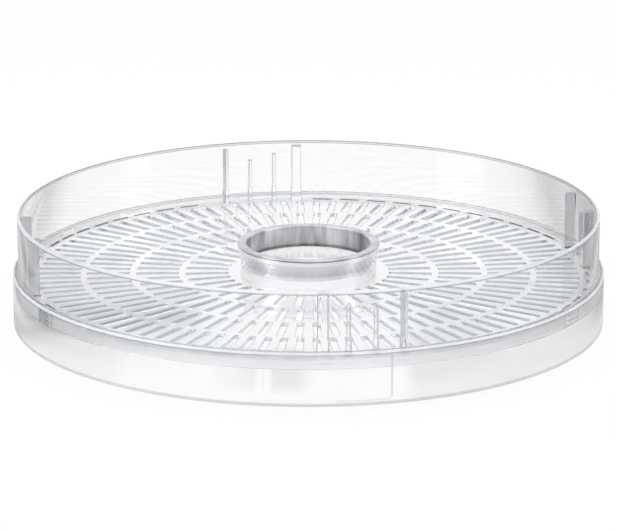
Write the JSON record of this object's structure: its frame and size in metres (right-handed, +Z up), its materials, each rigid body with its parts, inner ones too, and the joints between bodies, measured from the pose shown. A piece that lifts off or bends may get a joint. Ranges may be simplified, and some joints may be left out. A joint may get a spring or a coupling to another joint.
{
  "type": "food dehydrator tier",
  "caption": "Round clear stacking tier of a food dehydrator: stepped wall ring, lift-out slotted drying floor with a central collar, and a metal air-hole sleeve.",
  "frame": {"origin": "on the vertical axis, on the face of the skirt that the tier stands on", "axes": "+Z up along the axis of the wall, the skirt and the air hole; -Y is the front, where a finger grip is; +X to the right"},
  "size_m": [0.336, 0.336, 0.0627],
  "materials": {
    "clear_ring": "glossy water-clear moulded plastic, see-through",
    "clear_floor": "glossy water-clear moulded plastic, see-through",
    "sleeve_metal": "satin, with a brighter rolled edge"
  },
  "bodies": {
    "ring": {"tray_ring": "clear_ring"},
    "floor": {"drying_floor": "clear_floor"},
    "sleeve": {"centre_sleeve": "sleeve_metal"}
  },
  "joints": [
    {"name": "floor_lift", "type": "slide", "parent": "ring", "child": "floor", "axis": [0, 0, 1], "range_m": [0, 0.06]},
    {"name": "sleeve_lift", "type": "slide", "parent": "floor", "child": "sleeve", "axis": [0, 0, 1], "range_m": [0, 0.03]}
  ]
}
